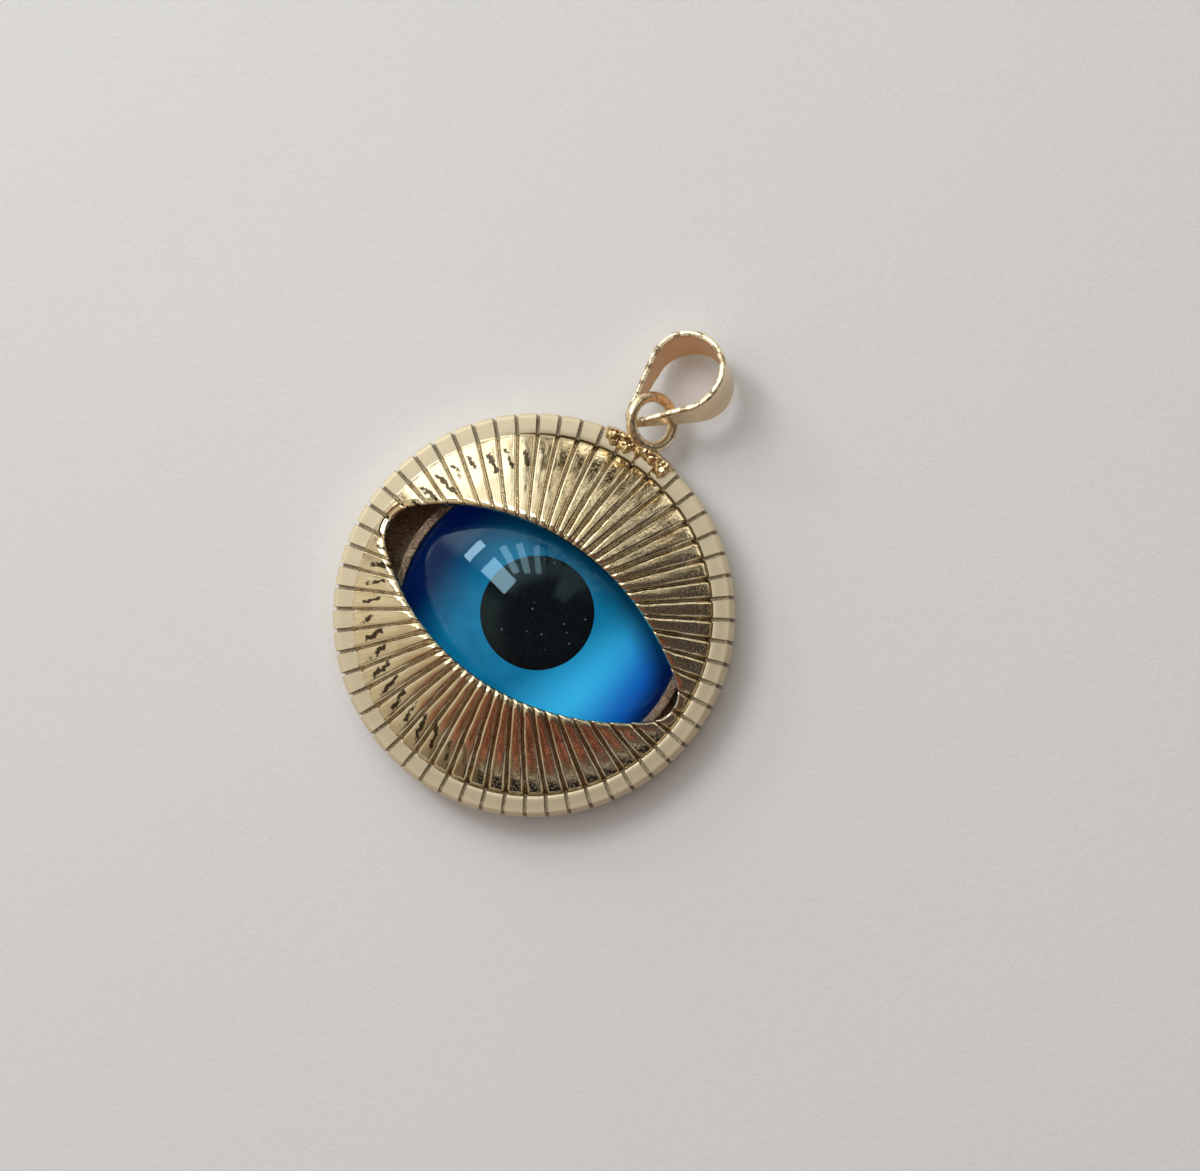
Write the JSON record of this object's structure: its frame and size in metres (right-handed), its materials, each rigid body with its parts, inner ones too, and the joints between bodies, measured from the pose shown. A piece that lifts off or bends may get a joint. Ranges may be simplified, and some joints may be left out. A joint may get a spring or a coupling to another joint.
{
  "type": "evil eye pendant",
  "caption": "Round fluted gold pendant with an almond opening over a domed blue glass eye, a soldered ring and a loose teardrop bail.",
  "frame": {"origin": "centre of the case's back, on the surface that the pendant lies on", "axes": "+X along the eye's long axis towards its pointed corner, +Y from the case's centre towards the ring and bail, which is up when worn, +Z out of the face"},
  "size_m": [0.02, 0.0262, 0.0051],
  "materials": {
    "gold_case": "polished gold plate with cast grooves",
    "gold_seat": "satin cast gold plate",
    "blue_enamel": "gloss",
    "black_enamel": "gloss",
    "clear_glass": "polished",
    "gold_bail": "polished gold plate"
  },
  "bodies": {
    "root": {"case": "gold_case", "seat": "gold_seat", "iris": "blue_enamel", "pupil": "black_enamel", "eye_glass": "clear_glass", "bail": "gold_bail"}
  },
  "joints": []
}
